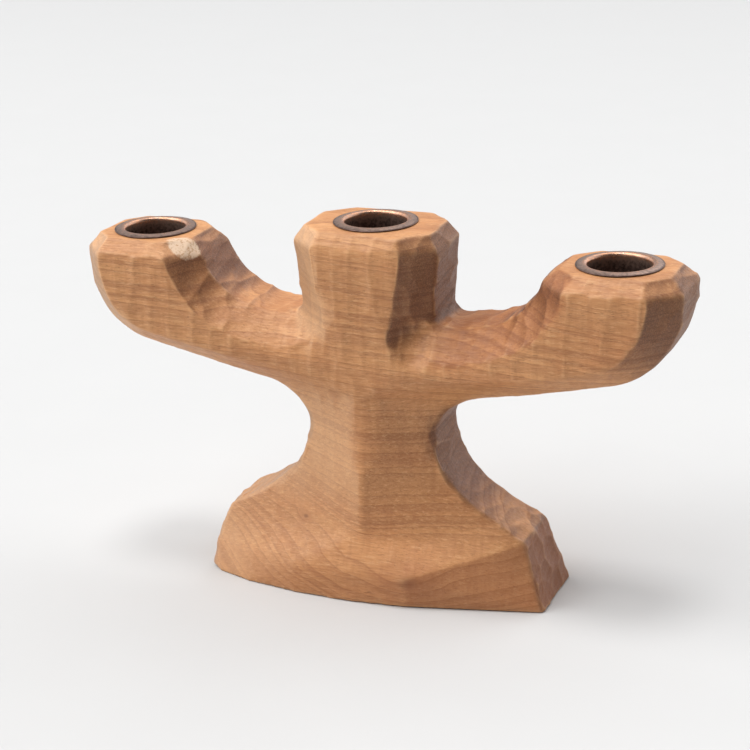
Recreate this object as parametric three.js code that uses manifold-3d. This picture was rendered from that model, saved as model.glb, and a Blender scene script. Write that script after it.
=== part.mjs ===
// A wooden candlestick for three candles, carved from one thick plank, with a sheet-metal
// candle cup let into each of its three heads.
//
// Millimetres. X runs along the row of cups, the front faces -Y, +Z is up, and the origin is
// the middle of the underside. The plank's front and back faces are joined to its narrow sides
// by broad chamfers, so every section through an arm or a head has eight sides.

import * as THREE from 'three';
import { mergeVertices } from 'three/addons/utils/BufferGeometryUtils.js';
import { ConvexGeometry } from 'three/addons/geometries/ConvexGeometry.js';
import Module from 'manifold-3d';

// Overall sizes.
const CUP_SPACING = 91.2; // centre cup to either side cup
const SIDE_TOP = 129.7; // height of the side heads' flat tops
const CENTRE_RISE = 9; // how much higher the centre head's top is
const PLANK_THICKNESS = 44; // front face to back face of arms and heads

// Heads.
const SIDE_HEAD_INNER = 25.4; // cup centre to the side that faces the middle
const SIDE_HEAD_OUTER = 26.2; // cup centre to the outer end
const CENTRE_HEAD_WIDTH = 56.8;
const CENTRE_NECK_WIDTH = 52; // the centre head narrows to this where the arms begin
const TOP_BEVEL_DROP = 5.3; // bevel around each top, measured down
const SIDE_TOP_BEVEL = 5.8; // and measured in, on the side heads
const CENTRE_TOP_BEVEL = 3.8; // and on the centre head

// Chamfers between the plank's faces and its narrow sides.
const CHAMFER_DEPTH = 11; // in from each face
const CORNER_CHAMFER = 11.5; // along X, on the heads and the outer ends
const VALLEY_CHAMFER = 12; // down from the valleys
const UNDERSIDE_CHAMFER = 8.5; // up from the arms' underside

// Arms. Their heights are measured down from the side heads' tops.
const VALLEY_DROP = 24.8; // to where the valleys meet the centre head
const UNDERSIDE_DROP = 60.7; // to the underside's straight line, carried on to the middle
const ELBOW_DROP = 41.3; // to where the underside turns up into the outer end
const ELBOW_REACH = 26.6; // how far in from the outer end that turn begins

// Stem, which has six sides: a ridge in front and behind, and two narrow side faces.
const WAIST_WIDTH = 51;
const ARMPIT_REACH = 22.5; // from the waist out to where the underside of an arm runs straight
const WAIST_DROP = 18.8; // from there down to the waist
const SIDE_FACE_WIDTH = 25; // front to back
const RIDGE_TOP = 21.2; // the ridge's distance from the middle, at the arms
const RIDGE_BOTTOM = 24.4; // and at the shoulders of the foot

// Foot. Distances are from the middle.
const SHOULDER_HEIGHT = 26;
const SHOULDER = 60;
const FOOT_RIGHT = 67.8; // ends of the underside
const FOOT_LEFT = 68.5;
const FOOT_DEPTH = 60; // front to back, at its widest
const FOOT_RIGHT_DEPTH = 33; // front to back, at its ends
const FOOT_LEFT_DEPTH = 38;
const BAND_HEIGHT = 11; // of the steep band round the foot, near its middle
const BAND_LEAN = 1.2; // how much further in the band is at its crest
// Corners of the underside's long edge: X, and how far in from the widest place.
const FOOT_EDGE = [[17, 1.8], [-4, 0], [-26, 0.6], [-47, 3.7]];
// Corners of the crest: X, how far in from its widest place, and how far above the band.
const FOOT_CREST = [[17.8, 0.5, 1], [-5, 0, 0], [-25, 1, 0]];

// Candle cups.
const CANDLE_BORE = 22.8;
const CUP_WALL = 0.8;
const CUP_DEPTH = 20; // inside, from the brim down to its floor
const CUP_BRIM = 3.3; // width of the flat brim outside the wall
const CUP_LIP_RADIUS = 1.2; // rounding from the brim down into the cup
const CLEARANCE = 0.3; // between a cup and the wood, at its sides, brim and floor
const BORE_PROUD = 5; // how far the cutter for a bore stands out of the wood

// How finely round shapes are divided.
const ROUND_SEGMENTS = 40;
const CURVE_STEPS = 10;

const wasm = await Module();
wasm.setup();

const point = (x, y) => new THREE.Vector2(x, y);

// ---- solids ----

function solid(geometry) {
  const bare = geometry.clone();
  bare.deleteAttribute('normal');
  bare.deleteAttribute('uv');
  const merged = mergeVertices(bare, 1e-4);
  return new wasm.Manifold(new wasm.Mesh({
    numProp: 3,
    vertProperties: new Float32Array(merged.attributes.position.array),
    triVerts: new Uint32Array(merged.index.array),
  }));
}

function geometryOf(manifold) {
  const mesh = manifold.getMesh();
  const geometry = new THREE.BufferGeometry();
  geometry.setAttribute('position', new THREE.BufferAttribute(mesh.vertProperties, 3));
  geometry.setIndex(new THREE.BufferAttribute(mesh.triVerts, 1));
  geometry.computeVertexNormals();
  return geometry;
}

// A closed solid through a stack of rings. Every ring has the same number of points, running
// anticlockwise when the stack is seen from its last ring, and the first and last are flat.
function loft(rings) {
  const count = rings[0].length;
  const positions = rings.flat().flatMap((p) => [p.x, p.y, p.z]);
  const index = [];
  for (let ring = 0; ring + 1 < rings.length; ring += 1) {
    for (let i = 0; i < count; i += 1) {
      const a = ring * count + i;
      const b = ring * count + ((i + 1) % count);
      index.push(a, b, b + count, a, b + count, a + count);
    }
  }
  const lastRing = (rings.length - 1) * count;
  for (const [a, b, c] of capTriangles(rings[0])) {
    index.push(c, b, a);
  }
  for (const [a, b, c] of capTriangles(rings.at(-1))) {
    index.push(lastRing + a, lastRing + b, lastRing + c);
  }
  const geometry = new THREE.BufferGeometry();
  geometry.setAttribute('position', new THREE.Float32BufferAttribute(positions, 3));
  geometry.setIndex(index);
  return geometry;
}

// Triangles that fill a flat ring, which lies either in a level plane or in one facing along Y.
function capTriangles(ring) {
  const level = ring.every((p) => p.z === ring[0].z);
  const contour = ring.map((p) => point(p.x, level ? p.y : p.z));
  return THREE.ShapeUtils.triangulateShape(contour, []);
}

// ---- the arms and heads ----

// The heights and X positions that the outlines below share.
const centreTop = SIDE_TOP + CENTRE_RISE;
const sideBevelStart = SIDE_TOP - TOP_BEVEL_DROP;
const centreBevelStart = centreTop - TOP_BEVEL_DROP;
const valleyFloor = SIDE_TOP - VALLEY_DROP;
const elbowHeight = SIDE_TOP - ELBOW_DROP;
const undersideRoot = SIDE_TOP - UNDERSIDE_DROP;
const headInner = CUP_SPACING - SIDE_HEAD_INNER;
const headOuter = CUP_SPACING + SIDE_HEAD_OUTER;
const centreHalf = CENTRE_HEAD_WIDTH / 2;
const neckHalf = CENTRE_NECK_WIDTH / 2;
const elbowStart = headOuter - ELBOW_REACH;
const sideHalfDepth = PLANK_THICKNESS / 2 - CHAMFER_DEPTH;

// Height of the arms' straight underside at a distance from the middle.
const underside = (x) => THREE.MathUtils.mapLinear(x, 0, elbowStart, undersideRoot, elbowHeight);

// The outlines below are lines and cubic curves through the named places. The factors and
// small offsets in them place the curves' handles.

// Right half of the outline along the middle of the narrow sides, from the underside's middle,
// out along the arm, round its end and back along the valley to the top of the centre head.
function edgeOutline() {
  const elbow = point(elbowStart, elbowHeight);
  const rise = sideBevelStart - elbowHeight;
  const reach = headInner - neckHalf;
  return [
    straight(point(0, undersideRoot), elbow),
    bend(elbow, point(elbow.x + 14.6, elbow.y + 2.9),
      point(headOuter - 0.4, elbow.y + rise * 0.45), point(headOuter, sideBevelStart)),
    bend(point(headInner, sideBevelStart), point(headInner, sideBevelStart),
      point(neckHalf + reach * 0.88, valleyFloor - 1.6), point(neckHalf + 3, valleyFloor)),
    straight(point(neckHalf, valleyFloor + 2.6), point(centreHalf, centreBevelStart)),
  ].flat();
}

// The right half outline where the chamfers meet the front and back faces.
function faceOutline() {
  const elbow = point(elbowStart - 4, elbowHeight + UNDERSIDE_CHAMFER - 0.7);
  const rise = sideBevelStart - elbow.y;
  const neck = neckHalf - CORNER_CHAMFER - 3;
  const inner = headInner + CORNER_CHAMFER;
  const outer = headOuter - CORNER_CHAMFER;
  const floor = valleyFloor - VALLEY_CHAMFER;
  const reach = inner - neck;
  return [
    bend(point(0, undersideRoot + UNDERSIDE_CHAMFER - 0.5),
      point(9, undersideRoot + 2 * UNDERSIDE_CHAMFER),
      point(elbow.x * 0.5, elbow.y - 10), elbow),
    bend(elbow, point(elbow.x + 8, elbow.y + 2), point(outer, elbow.y + rise * 0.35),
      point(outer, sideBevelStart)),
    bend(point(inner, sideBevelStart), point(inner - 2, sideBevelStart - 17),
      point(neck + reach * 0.62, floor - 2.6), point(neck + 9, floor + 0.5)),
    straight(point(neck, floor + 7), point(centreHalf - CORNER_CHAMFER, centreBevelStart)),
  ].flat();
}

const straight = (from, to) => new THREE.LineCurve(from, to).getPoints(CURVE_STEPS);
const bend = (...controls) => new THREE.CubicBezierCurve(...controls).getPoints(CURVE_STEPS);

// A half outline and its mirror image, as one closed ring at a place along Y. The two points
// on the middle line are kept once.
function plankRing(half, y) {
  const right = half.map((p) => new THREE.Vector3(p.x, y, p.y));
  const left = half.slice(1).reverse().map((p) => new THREE.Vector3(-p.x, y, p.y));
  return [...right, ...left];
}

function armBlank() {
  const edge = edgeOutline();
  const face = faceOutline();
  return loft([
    plankRing(face, PLANK_THICKNESS / 2),
    plankRing(edge, sideHalfDepth),
    plankRing(edge, -sideHalfDepth),
    plankRing(face, -PLANK_THICKNESS / 2),
  ]);
}

// The eight-sided top of a head between two places along X: full size where its bevel starts,
// smaller at the flat top, and rooted a little way down in the arm blank.
function headTop(from, to, top, bevel) {
  const ring = (z, inset) => {
    const corner = inset * 0.4;
    const start = from + inset;
    const end = to - inset;
    const halfDepth = PLANK_THICKNESS / 2 - inset;
    const sideHalf = sideHalfDepth - corner;
    const faceStart = from + CORNER_CHAMFER + corner;
    const faceEnd = to - CORNER_CHAMFER - corner;
    return [
      [end, -sideHalf], [end, sideHalf], [faceEnd, halfDepth], [faceStart, halfDepth],
      [start, sideHalf], [start, -sideHalf], [faceStart, -halfDepth], [faceEnd, -halfDepth],
    ].map(([x, y]) => new THREE.Vector3(x, y, z));
  };
  const bevelStart = top - TOP_BEVEL_DROP;
  return loft([ring(bevelStart - 1, 2), ring(bevelStart, 0), ring(top, bevel)]);
}

// ---- the stem and the foot ----

const waistHeight = underside(WAIST_WIDTH / 2 + ARMPIT_REACH) + 0.5 - WAIST_DROP;

// The stem's side line, from a shoulder up to the arms, as distances from the middle and
// heights. It ends just inside the arms.
function sideLine() {
  const waist = WAIST_WIDTH / 2;
  const armpit = waist + ARMPIT_REACH;
  const top = underside(armpit) + 0.5;
  const lower = waistHeight - SHOULDER_HEIGHT;
  const upper = top - waistHeight;
  return [
    ...bend(point(SHOULDER, SHOULDER_HEIGHT), point(SHOULDER - 12.5, SHOULDER_HEIGHT + lower * 0.18),
      point(waist, waistHeight - lower * 0.54), point(waist, waistHeight)),
    ...bend(point(waist, waistHeight), point(waist, waistHeight + upper * 0.3),
      point(armpit - ARMPIT_REACH * 0.97, waistHeight + upper * 0.76),
      point(armpit, top)).slice(1),
  ];
}

// Level six-sided sections stacked up the side lines. The side faces narrow towards the arms.
function stem() {
  const places = sideLine();
  const top = places.at(-1).y;
  const armEdge = sideHalfDepth - 0.2;
  return loft(places.map(({ x, y: z }) => {
    const ridge = THREE.MathUtils.mapLinear(z, SHOULDER_HEIGHT, top, RIDGE_BOTTOM, RIDGE_TOP);
    const narrowing = Math.max(0, (z - waistHeight) / (top - waistHeight));
    const edge = THREE.MathUtils.lerp(SIDE_FACE_WIDTH / 2, armEdge, narrowing);
    return [
      [x, -edge], [x, edge], [0, ridge], [-x, edge], [-x, -edge], [0, -ridge],
    ].map(([dx, dy]) => new THREE.Vector3(dx, dy, z));
  }));
}

// The foot is the convex block round its flat underside, the crest of the steep band and the
// two shoulders. The crest climbs from its low middle to the right shoulder. The back is the
// mirror image of the front.
function foot() {
  const edge = SIDE_FACE_WIDTH / 2;
  const half = FOOT_DEPTH / 2;
  const front = [
    // Underside.
    [FOOT_RIGHT, FOOT_RIGHT_DEPTH / 2, 0],
    ...FOOT_EDGE.map(([x, inset]) => [x, half - inset, 0]),
    [-FOOT_LEFT, FOOT_LEFT_DEPTH / 2, 0],
    // Crest of the band.
    ...FOOT_CREST.map(([x, inset, rise]) => [x, half - BAND_LEAN - inset, BAND_HEIGHT + rise]),
    // Shoulders, and the ridge between them.
    [SHOULDER, edge, SHOULDER_HEIGHT],
    [0, RIDGE_BOTTOM, SHOULDER_HEIGHT],
    [-SHOULDER, edge, SHOULDER_HEIGHT],
  ];
  const corners = front.flatMap(([x, y, z]) => [
    new THREE.Vector3(x, -y, z),
    new THREE.Vector3(x, y, z),
  ]);
  return new ConvexGeometry(corners);
}

// ---- the candle cups and their bores ----

const cupOuterRadius = CANDLE_BORE / 2 + CUP_WALL;
const cups = [
  { name: 'candle_cup_left', x: -CUP_SPACING, top: SIDE_TOP },
  { name: 'candle_cup_centre', x: 0, top: centreTop },
  { name: 'candle_cup_right', x: CUP_SPACING, top: SIDE_TOP },
];

// A bore open at the top, as a cylinder that stands a little proud of the wood.
function cupBore(cup) {
  const radius = cupOuterRadius + CLEARANCE;
  const height = CUP_DEPTH + CUP_WALL + BORE_PROUD;
  const cylinder = new THREE.CylinderGeometry(radius, radius, height, ROUND_SEGMENTS);
  cylinder.rotateX(Math.PI / 2);
  return cylinder.translate(cup.x, 0, cup.top + BORE_PROUD - height / 2);
}

// A cup as one turned shell, with its origin at the middle of the brim's upper face.
function cupShell() {
  const inner = CANDLE_BORE / 2;
  const brimOuter = cupOuterRadius + CUP_BRIM;
  const lip = CUP_LIP_RADIUS;
  const profile = new THREE.Path();
  profile.moveTo(0, -CUP_DEPTH);
  profile.lineTo(inner - lip, -CUP_DEPTH);
  profile.absarc(inner - lip, -CUP_DEPTH + lip, lip, -Math.PI / 2, 0);
  profile.lineTo(inner, -lip);
  profile.absarc(inner + lip, -lip, lip, Math.PI, Math.PI / 2, true);
  profile.lineTo(brimOuter - CUP_WALL / 2, 0);
  profile.absarc(brimOuter - CUP_WALL / 2, -CUP_WALL / 2, CUP_WALL / 2, Math.PI / 2,
    -Math.PI / 2, true);
  profile.lineTo(cupOuterRadius, -CUP_WALL);
  profile.lineTo(cupOuterRadius, -CUP_DEPTH + lip - CUP_WALL);
  profile.lineTo(cupOuterRadius - lip, -CUP_DEPTH - CUP_WALL);
  profile.lineTo(0, -CUP_DEPTH - CUP_WALL);
  const points = profile.getPoints(3).reverse();
  return new THREE.LatheGeometry(points, ROUND_SEGMENTS).rotateX(Math.PI / 2);
}

// ---- the candlestick ----

function woodenBody() {
  const pieces = [
    armBlank(),
    headTop(-headOuter, -headInner, SIDE_TOP, SIDE_TOP_BEVEL),
    headTop(headInner, headOuter, SIDE_TOP, SIDE_TOP_BEVEL),
    headTop(-centreHalf, centreHalf, centreTop, CENTRE_TOP_BEVEL),
    stem(),
    foot(),
  ];
  const block = pieces.map(solid).reduce((whole, piece) => whole.add(piece));
  return cups.map(cupBore).map(solid).reduce((whole, bore) => whole.subtract(bore), block);
}

const wood = new THREE.MeshStandardMaterial({ color: 0xc08a5a, roughness: 0.6, metalness: 0 });
const patina = new THREE.MeshStandardMaterial({ color: 0x4a332a, roughness: 0.4, metalness: 0.9 });

const candlestick = new THREE.Group();

const body = new THREE.Mesh(geometryOf(woodenBody()), wood);
body.name = 'wooden_body';
candlestick.add(body);

for (const cup of cups) {
  const mesh = new THREE.Mesh(geometryOf(solid(cupShell())), patina);
  mesh.name = cup.name;
  mesh.position.set(cup.x, 0, cup.top + CLEARANCE + CUP_WALL);
  candlestick.add(mesh);
}

export default candlestick;
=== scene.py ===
# A carved wooden candlestick with three bronze candle cups, dressed around its CAD frame.
# Everything is in metres in the frame's axes: +X right along the cups, -Y front, +Z up.
import itertools
import math

import bmesh
import bpy
import numpy as np
from mathutils import Matrix, Vector


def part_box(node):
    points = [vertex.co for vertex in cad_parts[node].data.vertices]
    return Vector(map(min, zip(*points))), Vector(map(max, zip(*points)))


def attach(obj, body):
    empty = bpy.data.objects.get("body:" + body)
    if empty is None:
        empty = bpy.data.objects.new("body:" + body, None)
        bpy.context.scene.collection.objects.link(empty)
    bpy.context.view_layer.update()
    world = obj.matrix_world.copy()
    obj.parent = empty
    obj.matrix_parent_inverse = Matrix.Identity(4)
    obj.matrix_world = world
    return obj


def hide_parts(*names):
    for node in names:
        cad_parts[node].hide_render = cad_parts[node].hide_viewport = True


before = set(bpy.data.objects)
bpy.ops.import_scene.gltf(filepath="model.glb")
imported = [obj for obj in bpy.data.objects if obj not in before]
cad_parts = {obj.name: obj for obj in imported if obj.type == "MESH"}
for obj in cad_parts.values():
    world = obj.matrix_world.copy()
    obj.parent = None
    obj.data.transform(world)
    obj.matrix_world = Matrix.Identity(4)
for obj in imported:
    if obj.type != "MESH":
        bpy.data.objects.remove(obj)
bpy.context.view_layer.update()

MM = 0.001

# Camera: where it stands, how it is turned, and its lens in millimetres.
CAMERA_AZIMUTH = 23.41  # degrees round from the front, towards +X
CAMERA_PAN = 0.2  # degrees to the left of straight at the frame's middle
CAMERA_PITCH = 19.51  # degrees down
CAMERA_ROLL = -2.21
CAMERA_REACH = 0.690  # level distance from the frame's middle, in metres
CAMERA_HEIGHT = 0.3244
CAMERA_LENS = 94.67

# Wooden body.
VOXEL = 0.62 * MM  # finest detail the carved surface keeps
EDGE_ROUNDS = 14  # passes that soften the outer edges
HOLLOW_ROUNDS = 70  # passes that fill the inner corners, where a gouge leaves a curve
BLEND_ROUNDS = 260  # passes that run neighbouring faces together at the BLENDS
SIDE_CUT = 1.25  # depths of the tool marks, in millimetres
CHAMFER_CUT = 0.75
FACE_CUT = 0.75  # on the arms and column
FACE_CUT_LOW = 0.10  # on the stem and foot
SIDE_MARK = (7.8, 18, 8.2)  # a mark's extent along X, Y and Z, in millimetres
END_MARK = (9.5, 8.5, 8.5)
CHAMFER_MARK = (7.0, 17, 12)
FACE_MARK = (6.5, 40, 21)
SIDE_CALM = 0.5  # share of SIDE_CUT and PROUD that the stem and the foot's slopes keep
PROUD = 0.55  # how far ridges between marks stand out of the CAD surface
CALM_BELOW = 0.7  # how much shallower the marks are where the surface looks down
NARROWING = 2.3  # how much the left head's outer end is slimmer at its top

# A deeper scoop at the foot of the centre head's right chamfer, in millimetres, on the front
# and on the back.
SCOOP_PLACE = (20, 20, 100)
SCOOP_REACH = (7, 9, 9)
SCOOP_DEPTH = 1.8

# The ridge across the foot, in millimetres.
CREST_HEIGHT = 11.5
CREST_TURN = 17.8  # where along X it starts to climb
CREST_CLIMB = 0.33  # rise for each millimetre to the right of there
CREST_FADE = 11  # how far above the ridge the lift ends
CREST_LIFT = 1.2  # how far the ridge is raised out of the CAD surface

# Where the carver ran the faces into each other: place, reach along each axis and strength,
# in millimetres, on the front and on the back.
BLENDS = (
    ((0, 24, 64), (34, 16, 13), 1.0),
    ((-34, 20, 84), (17, 10, 11), 0.8),
    ((36, 20, 81), (24, 12, 13), 1.0),
    ((24, 18, 89), (10, 10, 13), 0.5),
    ((-19, 19, 98), (12, 12, 24), 0.7),
    ((-38, 27, 11), (26, 9, 9), 0.7),
    ((-69, 16, 3), (7, 9, 7), 0.5),
)

# Candle cups. The brim's place comes from the frame; its radius is given here.
CUP_BORE = 22.8 * MM
CUP_DEPTH = 20 * MM
CUP_METAL = 0.8 * MM
CUP_FILLET = 1.2 * MM
CUP_BRIM = 15.5 * MM  # radius
BRIM_DROOP = 0.09 * MM  # how unevenly its edge hangs
BRIM_UNDER = -3 * MM  # what is further below the crest than this stays round
CUP_SEGMENTS = 112

FLOOR_RADIUS = 6  # metres


# ---- shaders ----

class Shader:
    """A material's node tree, built from nested calls. Every call gives a node's socket."""

    def __init__(self, name):
        self.material = bpy.data.materials.new(name)
        self.material.use_nodes = True
        self.tree = self.material.node_tree
        self.surface = self.tree.nodes["Principled BSDF"]

    def node(self, kind, inputs=(), output=0, **settings):
        node = self.tree.nodes.new(kind)
        for name, value in settings.items():
            setattr(node, name, value)
        for key, value in dict(inputs).items():
            self.feed(node.inputs[key], value)
        return node.outputs[output]

    def feed(self, socket, value):
        if isinstance(value, bpy.types.NodeSocket):
            self.tree.links.new(value, socket)
        else:
            socket.default_value = value

    def set(self, **values):
        for name, value in values.items():
            self.feed(self.surface.inputs[name.replace("_", " ")], value)

    def place(self):
        """The point in millimetres in the object's own axes."""
        point = self.node("ShaderNodeTexCoord", output="Object")
        return self.scaled(point, (1000, 1000, 1000))

    def scaled(self, vector, factors):
        return self.node("ShaderNodeVectorMath", {0: vector, 1: factors}, operation="MULTIPLY")

    def axis(self, vector, name):
        return self.node("ShaderNodeSeparateXYZ", {0: vector}, output=name)

    def math(self, operation, *values, clamp=False):
        return self.node("ShaderNodeMath", enumerate(values), operation=operation, use_clamp=clamp)

    def noise(self, vector, scale, detail=3.0, roughness=0.55):
        """Noise about 0.5, with features about 1/scale millimetres across."""
        return self.node("ShaderNodeTexNoise", {"Vector": vector, "Scale": scale,
                                                "Detail": detail, "Roughness": roughness})

    def attribute(self, name):
        return self.node("ShaderNodeAttribute", output="Fac", attribute_name=name)

    def band(self, value, low, high, to_low=0.0, to_high=1.0):
        """Value carried smoothly from low..high to to_low..to_high, and held beyond."""
        return self.node("ShaderNodeMapRange", {"Value": value, "From Min": low, "From Max": high,
                                                "To Min": to_low, "To Max": to_high},
                         interpolation_type="SMOOTHSTEP")

    def ramp(self, value, stops):
        node = self.tree.nodes.new("ShaderNodeValToRGB")
        self.feed(node.inputs[0], value)
        elements = node.color_ramp.elements
        while len(elements) < len(stops):
            elements.new(0.5)
        for element, (place, colour) in zip(elements, stops):
            element.position = place
            element.color = (*colour, 1)
        return node.outputs[0]

    def mix(self, factor, a, b, blend="MIX"):
        node = self.tree.nodes.new("ShaderNodeMix")
        node.data_type = "RGBA"
        node.blend_type = blend
        self.feed(node.inputs[0], factor)
        for socket, value in ((node.inputs[6], a), (node.inputs[7], b)):
            self.feed(socket, (*value, 1) if isinstance(value, tuple) else value)
        return node.outputs[2]

    def bump(self, height, distance, strength=1.0):
        """Surface relief, distance in metres for a height of 1."""
        return self.node("ShaderNodeBump", {"Height": height, "Distance": distance,
                                            "Strength": strength})


# Pin knots and the large knot in the foot: place and reach in millimetres.
KNOTS = (
    ((19.0, -26.8, 10.5), 4.2),
    ((-24.5, -19.0, 27.5), 1.2),
    ((-11.5, -20.4, 76.5), 1.0),
)

# A patch on the left head where the oil has worn off: place and reach in millimetres.
BARE_PATCH = (-71.0, -13.2, 127.5)
BARE_REACH = (8.5, 5.0, 5.0)

# Growth rings, in millimetres. The pith lies behind the candlestick's middle and below its
# foot.
PITH_BEHIND = 60
PITH_BELOW = 190
RING_WIDTH = 4.3

# Colours of the wood, as linear red, green and blue.
WOOD_DEEP = (0.50, 0.216, 0.078)
WOOD_LIGHT = (0.67, 0.322, 0.128)
WOOD_RED = (0.56, 0.205, 0.072)
LATE_WOOD = (0.29, 0.098, 0.033)
PALE_FIBRE = (0.74, 0.385, 0.18)
PALE_FLECK = (0.80, 0.47, 0.23)
DARK_FLECK = (0.34, 0.126, 0.044)
DARK_CURL = (0.40, 0.150, 0.052)
DARK_PORE = (0.22, 0.078, 0.028)
KNOT_CORE = (0.10, 0.028, 0.012)
KNOT_RIM = (0.34, 0.11, 0.04)
# Painted sheen on faces turned to the left.
LEFT_PAINTED_SHEEN = (0.78, 0.50, 0.29)
DRY_WOOD = (0.78, 0.59, 0.42)
DRY_PORE = (0.52, 0.31, 0.175)
# Painted shade below the foot's ridge.
RIDGE_PAINTED_SHADE = (0.33, 0.105, 0.034)
# Paler edges: wear, and a painted highlight.
EDGE_WEAR_AND_HIGHLIGHT = (0.76, 0.43, 0.21)
# Darker hollows: oil and dirt, and painted shade.
HOLLOW_DIRT_AND_SHADE = (0.16, 0.060, 0.026)
# These two multiply what is under them.
END_GRAIN = ((0.34, 0.30, 0.31), (0.55, 0.49, 0.51))
# Painted shade in the right arm's valley, beside the centre head.
VALLEY_PAINTED_SHADE = (0.66, 0.53, 0.42)


def knot_distance(s, place):
    """Distance to the nearest knot, in units of its reach."""
    nearest = None
    for spot, reach in KNOTS:
        away = s.node("ShaderNodeVectorMath", {0: place, 1: spot}, operation="SUBTRACT")
        away = s.scaled(away, (0.7 / reach, 1 / reach, 1 / reach))
        distance = s.node("ShaderNodeVectorMath", {0: away}, output="Value", operation="LENGTH")
        nearest = distance if nearest is None else s.math("MINIMUM", nearest, distance)
    return nearest


def late_wood(s, place, along, knot):
    """How much of each point is the dark late wood of a growth ring. The rings are nearly
    level sheets round a pith far below, bent by slow noise and round the knots. In the left
    of the foot they dip towards the right."""
    x = s.axis(place, "X")
    y = s.math("SUBTRACT", s.axis(place, "Y"), PITH_BEHIND)
    z = s.math("ADD", s.axis(place, "Z"), PITH_BELOW)
    radius = s.math("SQRT", s.math("ADD", s.math("MULTIPLY", y, y), s.math("MULTIPLY", z, z)))
    radius = s.math("ADD", radius, s.math("MULTIPLY", x, 0.05))
    dip = s.math("MULTIPLY", s.math("MINIMUM", s.math("ADD", x, 6), 0),
                 s.band(s.axis(place, "Z"), 15, 62, 0.24, 0.0))
    radius = s.math("ADD", radius, dip)
    slow = s.math("MULTIPLY", s.math("SUBTRACT", s.noise(along, 0.010, 1), 0.5), 24)
    quick = s.math("MULTIPLY", s.math("SUBTRACT", s.noise(along, 0.11, 2), 0.5), 1.8)
    bent = s.math("ADD", radius, s.math("ADD", slow, quick))
    knot_pull = s.band(knot, 0.3, 4.0, 1, 0)
    bent = s.math("ADD", bent, s.math("MULTIPLY", knot_pull, 3.0))
    uneven = s.math("MULTIPLY", s.node("ShaderNodeTexNoise", {"W": bent, "Scale": 0.21,
                    "Detail": 1.0}, noise_dimensions="1D"), 2.2)
    ring = s.math("FRACT", s.math("ADD", s.math("DIVIDE", bent, RING_WIDTH), uneven))
    return s.ramp(ring, ((0.0, (0.55,) * 3), (0.06, (0.0,) * 3), (0.55, (0.12,) * 3),
                         (0.86, (0.55,) * 3), (0.965, (1.0,) * 3), (1.0, (0.55,) * 3)))


def bare_patch(s, place, colour):
    """The worn patch is pale and dry, with dark specks left in its pores."""
    away = s.node("ShaderNodeVectorMath", {0: place, 1: BARE_PATCH}, operation="SUBTRACT")
    away = s.scaled(away, tuple(1 / reach for reach in BARE_REACH))
    bare = s.node("ShaderNodeVectorMath", {0: away}, output="Value", operation="LENGTH")
    ragged = s.math("MULTIPLY", s.math("SUBTRACT", s.noise(place, 0.5, 3), 0.5), 0.6)
    bare = s.band(s.math("ADD", bare, ragged), 1.05, 0.80)
    dry = s.mix(s.band(s.noise(place, 1.1, 2), 0.50, 0.68), DRY_WOOD, DRY_PORE)
    return s.mix(s.math("MULTIPLY", bare, 0.8), colour, dry)


def turned_faces(s, place, colour):
    """The wood's colour by which way a face looks, with a painted sheen and painted shade."""
    normal = s.node("ShaderNodeNewGeometry", output="Normal")

    # End grain drinks more oil, so it is darker. The fibres run a little out to the front.
    facing = s.node("ShaderNodeVectorMath", {0: normal, 1: (0.985, -0.06, 0)}, output="Value",
                    operation="DOT_PRODUCT")
    end = s.band(s.math("ABSOLUTE", facing), 0.28, 0.76)
    speck = s.band(s.noise(place, 2.4, 3), 0.4, 0.7)
    colour = s.mix(end, colour, s.mix(speck, *END_GRAIN), "MULTIPLY")

    # Faces turned to the left get a painted sheen, paler towards the left side. The right arm's
    # valley, which the centre head shades from the left, gets painted shade instead.
    x = s.axis(place, "X")
    left = s.band(s.axis(normal, "X"), -0.05, -0.45)
    colour = s.mix(s.math("MULTIPLY", left, s.band(x, 12, 40, 0.38, 0.0)), colour, LEFT_PAINTED_SHEEN)
    height = s.axis(place, "Z")
    valley = s.math("MULTIPLY", s.band(s.axis(normal, "Z"), 0.05, 0.4), s.band(height, 119, 108))
    valley_shade = s.math("MULTIPLY", s.math("MAXIMUM", left, valley), s.band(x, 12, 40, 0.0, 0.9))
    valley_shade = s.math("MULTIPLY", valley_shade, s.band(height, 76, 84))
    return s.mix(valley_shade, colour, VALLEY_PAINTED_SHADE, "MULTIPLY")


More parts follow.
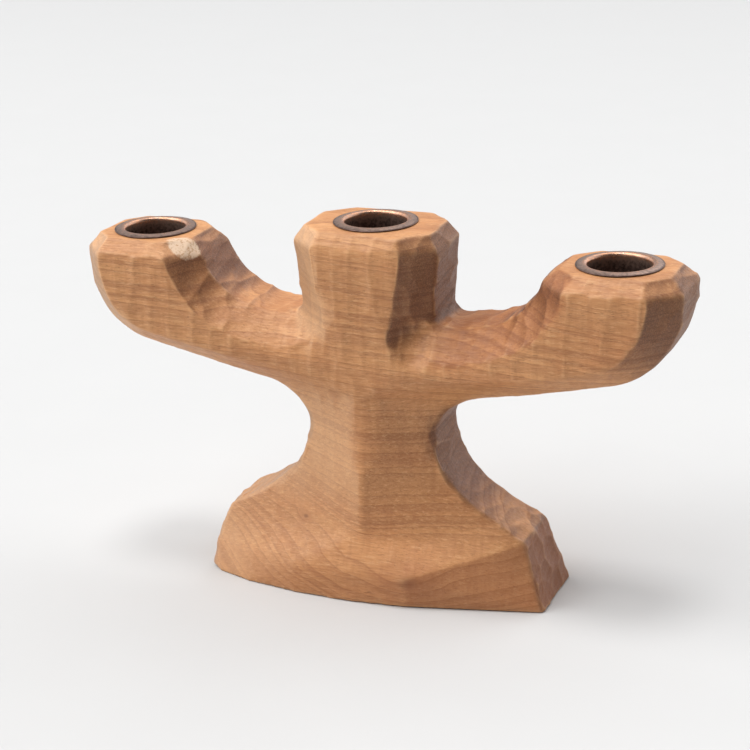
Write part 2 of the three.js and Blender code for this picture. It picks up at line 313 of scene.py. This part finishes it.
def wood_material():
    s = Shader("oiled_cherry")
    place = s.place()
    along = s.scaled(place, (0.3, 1, 1))  # the grain runs along X, so noise is drawn out that way
    knot = knot_distance(s, place)
    late = late_wood(s, place, along, knot)

    # Fibres, pores and broad drifts of tone.
    fibre = s.noise(s.scaled(place, (0.12, 1, 1)), 2.6, 4, 0.65)
    fleck = s.noise(s.scaled(place, (0.10, 1, 1)), 1.5, 3, 0.7)
    pore = s.band(s.noise(s.scaled(place, (0.11, 1, 1)), 3.4, 2), 0.61, 0.70)
    curl = s.noise(s.scaled(place, (1, 0.4, 0.10)), 0.55, 3)
    drift = s.noise(along, 0.035, 2)
    warm = s.noise(along, 0.06, 3)

    colour = s.mix(s.band(drift, 0.3, 0.7), WOOD_DEEP, WOOD_LIGHT)
    colour = s.mix(s.math("MULTIPLY", s.band(warm, 0.45, 0.75), 0.45), colour, WOOD_RED)
    colour = s.mix(s.math("MULTIPLY", late, 0.62), colour, LATE_WOOD)
    colour = s.mix(s.band(fibre, 0.35, 0.7, 0.0, 0.30), colour, PALE_FIBRE)
    colour = s.mix(s.band(fleck, 0.48, 0.30, 0.0, 0.40), colour, PALE_FLECK)
    colour = s.mix(s.band(fleck, 0.50, 0.70, 0.0, 0.46), colour, DARK_FLECK)
    colour = s.mix(s.band(curl, 0.46, 0.66, 0.0, 0.20), colour, DARK_CURL)
    colour = s.mix(s.math("MULTIPLY", pore, 0.40), colour, DARK_PORE)
    colour = s.mix(s.math("MULTIPLY", s.band(knot, 0.15, 1.0, 1, 0), 0.8), colour, KNOT_CORE)
    colour = s.mix(s.band(knot, 0.8, 3.2, 0.35, 0.0), colour, KNOT_RIM)
    colour = turned_faces(s, place, colour)
    colour = bare_patch(s, place, colour)

    # The band below the foot's ridge gets painted shade. Edges are paler, from wear and a painted
    # highlight, and hollows darker, from oil and dirt and painted shade.
    colour = s.mix(s.math("MULTIPLY", s.attribute("low"), 0.42), colour, RIDGE_PAINTED_SHADE)
    edge = s.attribute("edge")
    colour = s.mix(s.math("MULTIPLY", edge, 0.30), colour, EDGE_WEAR_AND_HIGHLIGHT)
    colour = s.mix(s.math("MULTIPLY", s.attribute("hollow"), 0.45), colour, HOLLOW_DIRT_AND_SHADE)

    rough = s.band(s.noise(s.scaled(place, (0.2, 1, 1)), 0.8, 3), 0.3, 0.7, 0.45, 0.61)
    rough = s.math("ADD", rough, s.math("MULTIPLY", late, 0.06))
    rough = s.math("SUBTRACT", rough, s.math("MULTIPLY", edge, 0.06))
    relief = s.math("ADD", s.math("MULTIPLY", fibre, 0.6), s.math("MULTIPLY", pore, -0.5))
    relief = s.math("ADD", relief, s.math("MULTIPLY", late, 0.25))
    relief = s.math("ADD", relief, s.math("MULTIPLY", s.noise(place, 0.9, 2), 0.35))
    s.set(Base_Color=colour, Roughness=rough, Normal=s.bump(relief, 0.10 * MM, 0.9))
    s.set(Specular_IOR_Level=0.5)
    return s.material


PATINA_DARK = (0.10, 0.064, 0.054)
PATINA_LIGHT = (0.18, 0.115, 0.095)
PATINA_THIN = (0.40, 0.27, 0.215)
BRONZE_RUBBED = (0.66, 0.34, 0.20)


def bronze_material():
    s = Shader("patinated_bronze")
    place = s.place()
    cloud = s.noise(place, 0.35, 4)
    fine = s.noise(place, 2.2, 3)
    worn = s.attribute("worn")
    patchy = s.math("MULTIPLY", s.math("SUBTRACT", s.noise(place, 0.9, 4), 0.5), 0.9)
    worn = s.math("ADD", worn, patchy)
    wear = s.band(worn, 0.50, 0.90)
    colour = s.mix(s.band(cloud, 0.35, 0.65), PATINA_DARK, PATINA_LIGHT)
    colour = s.mix(s.band(worn, 0.15, 0.55), colour, PATINA_THIN)
    colour = s.mix(wear, colour, BRONZE_RUBBED)
    rough = s.band(fine, 0.3, 0.7, 0.30, 0.48)
    rough = s.math("SUBTRACT", rough, s.math("MULTIPLY", wear, 0.08))
    relief = s.math("ADD", s.math("MULTIPLY", fine, 0.5), cloud)
    s.set(Base_Color=colour, Roughness=rough, Normal=s.bump(relief, 0.12 * MM, 0.6))
    s.set(Metallic=0.9)
    return s.material


PAPER = ((0.58, 0.58, 0.578), (0.595, 0.595, 0.593))
# Painted shade on the floor away from the lit middle.
PAPER_FRONT_SHADE = (0.42, 0.42, 0.42)
PAPER_FAR_SHADE = (0.495, 0.495, 0.495)


def floor_material():
    """Pale paper, with painted shade well to the front and right, and far behind, where the light
    falls off.
    """
    s = Shader("pale_sweep")
    place = s.place()
    grain = s.noise(place, 0.02, 2)
    pale = s.mix(grain, *PAPER)
    outward = s.math("SUBTRACT", s.axis(place, "X"), s.axis(place, "Y"))
    colour = s.mix(s.band(outward, 420, 1100), pale, PAPER_FRONT_SHADE)
    colour = s.mix(s.band(s.axis(place, "Y"), 100, 2200), colour, PAPER_FAR_SHADE)
    s.set(Base_Color=colour, Roughness=0.9, Specular_IOR_Level=0.1)
    return s.material


# ---- mesh helpers ----

def new_object(name, mesh, material):
    piece = bpy.data.objects.new(name, mesh)
    bpy.context.scene.collection.objects.link(piece)
    mesh.materials.clear()
    mesh.materials.append(material)
    return piece


def vertex_array(mesh):
    points = np.empty(len(mesh.vertices) * 3)
    mesh.vertices.foreach_get("co", points)
    return points.reshape(-1, 3)


def vertex_normals(mesh):
    normals = np.empty(len(mesh.vertices) * 3)
    mesh.vertex_normals.foreach_get("vector", normals)
    return normals.reshape(-1, 3)


def put_vertices(mesh, points):
    mesh.vertices.foreach_set("co", points.astype(np.float32).ravel())
    mesh.update()


def edge_array(mesh):
    edges = np.empty(len(mesh.edges) * 2, np.int64)
    mesh.edges.foreach_get("vertices", edges)
    return edges.reshape(-1, 2)


def put_attribute(mesh, name, values):
    attribute = mesh.attributes.new(name, "FLOAT", "POINT")
    attribute.data.foreach_set("value", np.clip(values, 0, 1).astype(np.float32))


def neighbour_mean(values, edges):
    """Each vertex's mean over the vertices that edges join it to."""
    total = np.zeros_like(values)
    count = np.bincount(edges.ravel(), minlength=len(values)).astype(float)
    for a, b in ((0, 1), (1, 0)):
        for column in range(values.shape[1]):
            total[:, column] += np.bincount(edges[:, a], values[edges[:, b], column], len(values))
    return total / count[:, None]


def relaxed(points, edges, rounds, weight=0.5):
    """Points drawn towards their neighbours, which rounds every edge."""
    for _ in range(rounds):
        points = points + weight * (neighbour_mean(points, edges) - points)
    return points


def smoothed(points, edges, rounds):
    """Smoothing that alternates shrinking and swelling, so size is kept."""
    for _ in range(rounds):
        for step in (0.5, -0.52):
            points = relaxed(points, edges, 1, step)
    return points


def hollows_filled(points, normals, edges, rounds):
    """Only inner corners are drawn towards their neighbours, so outer edges stay."""
    for _ in range(rounds):
        pull = neighbour_mean(points, edges) - points
        lift = np.clip((pull * normals).sum(1), 0, None)
        points = points + 0.5 * lift[:, None] * normals
    return points


def smoothstep(low, high, value):
    t = np.clip((value - low) / (high - low), 0, 1)
    return t * t * (3 - 2 * t)


def scatter(cells, salt):
    """A repeatable random number from 0 to 1 for each whole-numbered cell."""
    n = cells[:, 0] * 73856093 + cells[:, 1] * 19349663 + cells[:, 2] * 83492791 + salt * 7919
    n = (n ^ (n >> 13)) & 0x7FFFFFFF
    n = (n * 60493 + 19990303) & 0x7FFFFFFF
    n = ((n ^ (n >> 11)) * 48271) & 0x7FFFFFFF
    return n / 0x7FFFFFFF


def tool_marks(points, size, salt):
    """How deep each point, in millimetres, lies in the nearest of many overlapping shallow
    cuts: 1 in the middle of a cut, and 0 on the ridges between them. Size is a cut's extent
    along each axis."""
    scaled = points / np.array(size)
    base = np.floor(scaled).astype(np.int64)
    nearest = np.full(len(points), 9.0)
    for step in itertools.product((-1, 0, 1), repeat=3):
        cell = base + np.array(step)
        spot = np.stack([cell[:, i] + 0.5 + 0.8 * (scatter(cell, salt + i) - 0.5)
                         for i in range(3)], axis=1)
        bite = 0.22 * scatter(cell, salt + 3)
        nearest = np.minimum(nearest, ((scaled - spot) ** 2).sum(1) + bite)
    return 1 - np.clip(nearest / 0.75, 0, 1)


# ---- the wooden body ----

def voxel_copy(cad, name, material):
    """The CAD solid as a fine even mesh, which the carving then works on."""
    mesh = cad.data.copy()
    welded = bmesh.new()
    welded.from_mesh(mesh)
    bmesh.ops.remove_doubles(welded, verts=welded.verts, dist=1e-6)
    welded.to_mesh(mesh)
    welded.free()
    piece = new_object(name, mesh, material)
    remesh = piece.modifiers.new("fine", "REMESH")
    remesh.mode = "VOXEL"
    remesh.voxel_size = VOXEL
    evaluated = piece.evaluated_get(bpy.context.evaluated_depsgraph_get())
    fine = bpy.data.meshes.new_from_object(evaluated)
    piece.modifiers.clear()
    piece.data = fine
    fine.materials.clear()
    fine.materials.append(material)
    return piece


def carve(points, normals):
    """How far each point moves along its normal, in millimetres: in where a mark is cut, and
    a little out on the ridges between marks. The heads' tops and the underside stay flat."""
    x, _, z = points.T
    across = np.abs(normals[:, 1])
    side = 1 - smoothstep(0.25, 0.50, across)
    face = smoothstep(0.84, 0.93, across)
    chamfer = (1 - side) * (1 - face)
    ends = smoothstep(50, 56, np.abs(x)) * smoothstep(34, 28, z)
    marks = (1 - ends) * tool_marks(points, SIDE_MARK, 11)
    marks += ends * tool_marks(points, END_MARK, 53)
    calm = 1 - (1 - SIDE_CALM) * smoothstep(56, 44, z) * (1 - ends)
    depth = side * calm * (SIDE_CUT * marks - PROUD)
    foot_face = smoothstep(40, 32, z) * smoothstep(0.5, 0.6, across)
    cut = CHAMFER_CUT * (1 - 0.75 * foot_face)
    depth += chamfer * cut * (tool_marks(points, CHAMFER_MARK, 23) - 0.4)
    face_cut = FACE_CUT_LOW + (FACE_CUT - FACE_CUT_LOW) * smoothstep(66, 86, z)
    depth += face * face_cut * (tool_marks(points, FACE_MARK, 37) - 0.3)
    flat = smoothstep(0.75, 0.95, normals[:, 2]) * smoothstep(120, 125, z)
    depth *= 1 - flat
    depth *= 1 - CALM_BELOW * smoothstep(-0.15, -0.45, normals[:, 2])
    base = smoothstep(-0.80, -0.95, normals[:, 2]) * (z < 2)
    return -depth * (1 - base)


def nearness(points, place, reach):
    """1 round a place, fading to 0 beyond its reach, on the front and on the back."""
    away = np.stack([points[:, 0], np.abs(points[:, 1]), points[:, 2]], axis=1) - place
    return smoothstep(1.3, 0.5, np.sqrt(((away / np.array(reach)) ** 2).sum(1)))


def blend_weight(points):
    """How strongly the faces run together at each point, from 0 to 1."""
    weight = np.zeros(len(points))
    for place, reach, strength in BLENDS:
        weight = np.maximum(weight, strength * nearness(points, place, reach))
    return weight


def blended(points, edges, weight):
    """Faces run together where the weight says, working only on the edges near there."""
    inside = weight[:, 0] > 0
    near = edges[inside[edges].any(axis=1)]
    used, local = np.unique(near, return_inverse=True)
    patch = relaxed(points[used], local.reshape(near.shape), BLEND_ROUNDS, weight[used])
    points[used] = patch
    return points


def scooped(points, normals):
    """The scoop taken out, on the front and on the back."""
    return points - normals * (SCOOP_DEPTH * nearness(points, SCOOP_PLACE, SCOOP_REACH))[:, None]


def crest_at(x):
    """Height of the foot's ridge."""
    return CREST_HEIGHT + np.clip(x - CREST_TURN, 0, None) * CREST_CLIMB


def crested(points):
    """The ridge across the foot raised. It is level and soft to the left of the knot, and
    climbs crisply from there to the right shoulder. Front and back alike."""
    x, y, z = points.T
    crest = crest_at(x)
    above = np.clip((z - crest) / CREST_FADE, 0, 1)
    below = np.clip((crest - z) / crest, 0, 1)
    lift = np.where(z > crest, 1 - above, 1 - below)
    soft = smoothstep(CREST_TURN - 14, CREST_TURN + 4, x)
    lift = lift * soft + 0.7 * smoothstep(0, 1, lift) * (1 - soft)
    lift *= smoothstep(-66, -45, x) * smoothstep(64, 50, x) * smoothstep(8, 14, np.abs(y))
    points[:, 1] += np.sign(y) * CREST_LIFT * lift
    return points


def slimmed(points):
    """The left head's outer end drawn in towards its top."""
    inward = smoothstep(95, 117, -points[:, 0]) * smoothstep(92, 124, points[:, 2])
    points[:, 0] += NARROWING * inward
    return points


def carved_body(material):
    piece = voxel_copy(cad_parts["wooden_body"], "carved_body", material)
    mesh = piece.data
    edges = edge_array(mesh)
    points = relaxed(vertex_array(mesh) / MM, edges, EDGE_ROUNDS)
    put_vertices(mesh, points * MM)
    points = hollows_filled(points, vertex_normals(mesh), edges, HOLLOW_ROUNDS)
    points = blended(points, edges, 0.5 * blend_weight(points)[:, None])
    points = slimmed(crested(points))
    put_vertices(mesh, points * MM)
    points = scooped(points, relaxed(vertex_normals(mesh), edges, 30))
    put_vertices(mesh, points * MM)
    normals = relaxed(vertex_normals(mesh), edges, 8)
    normals /= np.linalg.norm(normals, axis=1)[:, None]
    points += normals * carve(points, normals)[:, None]
    points = smoothed(points, edges, 1) * MM
    low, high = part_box("wooden_body")
    points = np.clip(points, np.array(low), np.array(high))
    put_vertices(mesh, points)
    mark_wear_and_shade(mesh, points, edges)
    mesh.polygons.foreach_set("use_smooth", np.ones(len(mesh.polygons), bool))
    return piece


def mark_wear_and_shade(mesh, points, edges):
    """Stores where the surface is a convex edge, where it is a hollow, and where it lies below the
    foot's ridge. The wood's colour uses these for wear and a painted highlight on edges, and for
    painted shade in hollows and below the ridge."""
    normals = vertex_normals(mesh)
    bulge = ((points - neighbour_mean(points, edges)) * normals).sum(1, keepdims=True)
    for _ in range(3):
        bulge = 0.5 * (bulge + neighbour_mean(bulge, edges))
    bulge = bulge[:, 0] / VOXEL
    x, _, z = points.T / MM
    # Where the wood's colour gets painted shade below the foot's ridge.
    below = smoothstep(0.4, -0.6, z - crest_at(x)) * smoothstep(CREST_TURN, CREST_TURN + 3, x)
    below += 0.45 * smoothstep(3, -3, z - crest_at(x)) * smoothstep(CREST_TURN, CREST_TURN - 3, x)
    put_attribute(mesh, "low", below)
    put_attribute(mesh, "edge", smoothstep(0.012, 0.07, bulge))
    put_attribute(mesh, "hollow", smoothstep(0.012, 0.07, -bulge))


# ---- the candle cups ----

def cup_profile():
    """Half section of a cup, from the middle of its floor inside, over the brim and back to
    the middle of its floor outside, with heights measured from the brim's crest. Each point
    has how worn the metal is there."""
    bore = CUP_BORE / 2
    wall = CUP_METAL
    depth = CUP_DEPTH
    fillet = CUP_FILLET
    brim = CUP_BRIM

    def arc(x, z, radius, start, end, steps, wear):
        turns = [math.radians(start + (end - start) * i / steps) for i in range(steps + 1)]
        return [(x + radius * math.cos(t), z + radius * math.sin(t), wear) for t in turns]

    return [
        (0, -depth, 0.0),
        (bore * 0.5, -depth, 0.0),
        *arc(bore - fillet, -depth + fillet, fillet, -90, 0, 5, 0.1),
        (bore, -depth * 0.6, 0.1),
        (bore, -depth * 0.3, 0.25),
        (bore, -depth * 0.15, 0.4),
        *arc(bore + 1.3 * MM, -1.3 * MM, 1.3 * MM, 180, 90, 7, 0.72),
        (bore + 2.1 * MM, -0.10 * MM, 0.52),
        (bore + 2.9 * MM, -0.22 * MM, 0.46),
        (brim - 0.6 * MM, -0.38 * MM, 0.40),
        *arc(brim - 0.24 * MM, -0.66 * MM, 0.24 * MM, 100, -100, 8, 0.05),
        (brim - 1.2 * MM, -0.86 * MM, 0.0),
        (bore + wall + 0.9 * MM, -0.92 * MM, 0.0),
        *arc(bore + wall + 0.7 * MM, -1.62 * MM, 0.7 * MM, 90, 180, 3, 0.0),
        (bore + wall, -depth + fillet - wall, 0.0),
        (bore + wall - fillet, -depth - wall, 0.0),
        (0, -depth - wall, 0.0),
    ]


def candle_cup(node, salt, material):
    """A turned cup in its CAD node's place, its brim a little uneven from handling."""
    low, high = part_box(node)
    centre = (low + high) / 2
    profile = cup_profile()
    mesh = bpy.data.meshes.new(node.replace("candle_cup", "bronze_cup"))
    lathe = bmesh.new()
    rng = np.random.default_rng(salt)
    phases = rng.uniform(0, 2 * math.pi, 3)
    rings = []
    for radius, z, _ in profile:
        if radius == 0:
            rings.append([lathe.verts.new((centre.x, centre.y, high.z + z))])
            continue
        ring = []
        for i in range(CUP_SEGMENTS):
            turn = 2 * math.pi * i / CUP_SEGMENTS
            lift = sum(math.sin(k * turn + phase) / k for k, phase in zip((2, 3, 5), phases))
            droop = (radius / CUP_BRIM) ** 6 * max(0, BRIM_DROOP * (lift + 0.6))
            if z < BRIM_UNDER:
                droop = 0
            ring.append(lathe.verts.new((centre.x + radius * math.cos(turn),
                                         centre.y + radius * math.sin(turn),
                                         high.z + z - droop)))
        rings.append(ring)
    for a, b in zip(rings, rings[1:]):
        for i in range(CUP_SEGMENTS):
            j = (i + 1) % CUP_SEGMENTS
            corners = [a[i % len(a)], a[j % len(a)], b[j % len(b)], b[i % len(b)]]
            lathe.faces.new(list(dict.fromkeys(corners)))
    bmesh.ops.recalc_face_normals(lathe, faces=lathe.faces)
    lathe.to_mesh(mesh)
    lathe.free()
    mesh.polygons.foreach_set("use_smooth", np.ones(len(mesh.polygons), bool))
    wear = []
    for (radius, _, worn), ring in zip(profile, rings):
        wear += [worn] * len(ring)
    put_attribute(mesh, "worn", np.array(wear))
    return new_object(mesh.name, mesh, material)


# ---- stage, light and camera ----

def pale_floor(material):
    mesh = bpy.data.meshes.new("floor")
    disc = bmesh.new()
    bmesh.ops.create_circle(disc, cap_ends=True, segments=96, radius=FLOOR_RADIUS)
    disc.to_mesh(mesh)
    disc.free()
    return new_object("floor", mesh, material)


def distant_softbox(name, around, height, power, spread):
    """Even light from far off: around is in degrees from the front towards the left, height
    in degrees above the floor, and spread is how wide the light looks from the candlestick."""
    light = bpy.data.lights.new(name, "SUN")
    light.energy = power
    light.angle = math.radians(spread)
    turn, rise = math.radians(around), math.radians(height)
    towards = Vector((-math.sin(turn) * math.cos(rise), -math.cos(turn) * math.cos(rise),
                      math.sin(rise)))
    lamp = bpy.data.objects.new(name, light)
    lamp.rotation_euler = towards.to_track_quat("Z", "Y").to_euler()
    bpy.context.scene.collection.objects.link(lamp)


def light_stage():
    world = bpy.data.worlds.new("studio")
    bpy.context.scene.world = world
    world.use_nodes = True
    nodes, links = world.node_tree.nodes, world.node_tree.links
    background = nodes["Background"]
    background.inputs["Color"].default_value = (0.96, 0.97, 1.0, 1)
    # The room is dark in front and pale behind.
    direction = nodes.new("ShaderNodeTexCoord")
    parts = nodes.new("ShaderNodeSeparateXYZ")
    links.new(direction.outputs["Generated"], parts.inputs[0])
    glow = nodes.new("ShaderNodeMapRange")
    links.new(parts.outputs["Y"], glow.inputs["Value"])
    for name, value in (("From Min", -0.1), ("From Max", 0.9), ("To Min", 0.05), ("To Max", 0.5)):
        glow.inputs[name].default_value = value
    links.new(glow.outputs[0], background.inputs["Strength"])
    distant_softbox("key", 52, 54, 2.25, 58)
    distant_softbox("low left", 84, 20, 1.40, 84)
    distant_softbox("back", 180, 62, 0.42, 40)
    distant_softbox("overhead", 0, 88, 1.0, 15)
    distant_softbox("back right", 217, 26, 1.40, 80)
    distant_softbox("front", 18, 22, 0.12, 60)


def picture_camera():
    azimuth = math.radians(CAMERA_AZIMUTH)
    heading = azimuth + math.radians(CAMERA_PAN)
    data = bpy.data.cameras.new("camera")
    data.lens = CAMERA_LENS
    camera = bpy.data.objects.new("camera", data)
    place = Vector((CAMERA_REACH * math.sin(azimuth), -CAMERA_REACH * math.cos(azimuth),
                    CAMERA_HEIGHT))
    camera.matrix_world = (Matrix.Translation(place) @ Matrix.Rotation(heading, 4, "Z")
                           @ Matrix.Rotation(math.pi / 2 - math.radians(CAMERA_PITCH), 4, "X")
                           @ Matrix.Rotation(math.radians(CAMERA_ROLL), 4, "Z"))
    bpy.context.scene.collection.objects.link(camera)
    bpy.context.scene.camera = camera
    bpy.context.scene.view_settings.view_transform = "Standard"


picture_camera()
light_stage()
pale_floor(floor_material())

body = carved_body(wood_material())
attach(body, "root")
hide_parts("wooden_body")

bronze = bronze_material()
for salt, node in enumerate(("candle_cup_left", "candle_cup_centre", "candle_cup_right")):
    cup = candle_cup(node, salt, bronze)
    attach(cup, "root")
    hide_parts(node)
